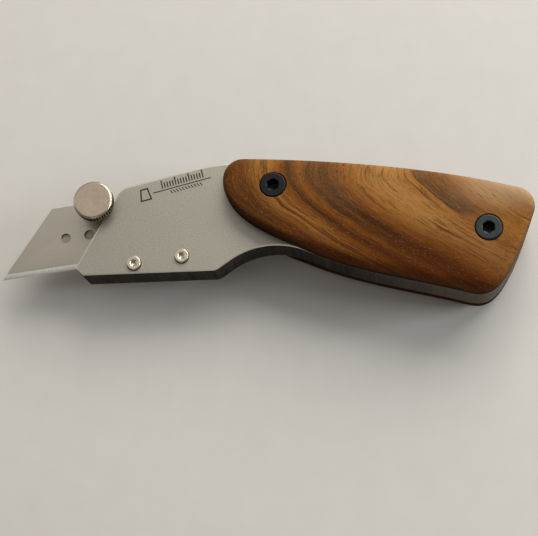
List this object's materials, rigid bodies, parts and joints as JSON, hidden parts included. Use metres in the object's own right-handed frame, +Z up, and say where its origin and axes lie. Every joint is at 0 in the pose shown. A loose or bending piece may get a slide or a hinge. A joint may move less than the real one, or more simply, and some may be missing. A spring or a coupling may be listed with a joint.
{
  "type": "utility knife",
  "caption": "Utility knife with a trapezoid blade clamped by a knurled thumb screw between steel plates, with rounded walnut handle scales.",
  "frame": {"origin": "under the middle of the knife's outline, on the surface it lies on", "axes": "+X from the blade's point to the butt along the plates' straight bottom edge, +Y towards the blade's spine, +Z up from the back scale to the front scale"},
  "size_m": [0.1466, 0.0406, 0.021],
  "materials": {
    "walnut": "oiled satin, dark diagonal grain",
    "satin_steel": "bead-blasted satin, warm grey",
    "blade_steel": "satin, ground bevel",
    "bright_steel": "turned bright",
    "black_oxide": "satin black oxide"
  },
  "bodies": {
    "knife_frame": {"back_scale": "walnut", "back_plate": "satin_steel", "spacer_plate": "satin_steel", "front_plate": "satin_steel", "front_scale": "walnut", "blade_bed": "satin_steel", "blade": "blade_steel", "nose_screw_front": "bright_steel", "nose_screw_rear": "bright_steel", "handle_screw_front": "black_oxide", "handle_screw_rear": "black_oxide", "screw_washer_front": "black_oxide", "screw_washer_rear": "black_oxide", "sleeve_nut_front": "black_oxide", "sleeve_nut_rear": "black_oxide", "nut_washer_front": "black_oxide", "nut_washer_rear": "black_oxide"},
    "clamp": {"clamp_washer": "bright_steel"},
    "thumb_screw": {"thumb_screw": "bright_steel"}
  },
  "joints": [
    {"name": "thumb_screw_lift", "type": "slide", "parent": "knife_frame", "child": "clamp", "axis": [0, 0, 1], "range_m": [0, 0.003]},
    {"name": "thumb_screw_turn", "type": "hinge", "parent": "clamp", "child": "thumb_screw", "pos_m": [-0.0465, 0.00977, 0.0114], "axis": [0, 0, 1], "range_deg": [0, 2160]}
  ],
  "couplings": [
    {"joint": "thumb_screw_turn", "follows": "thumb_screw_lift", "rad_per_m": 12566}
  ]
}
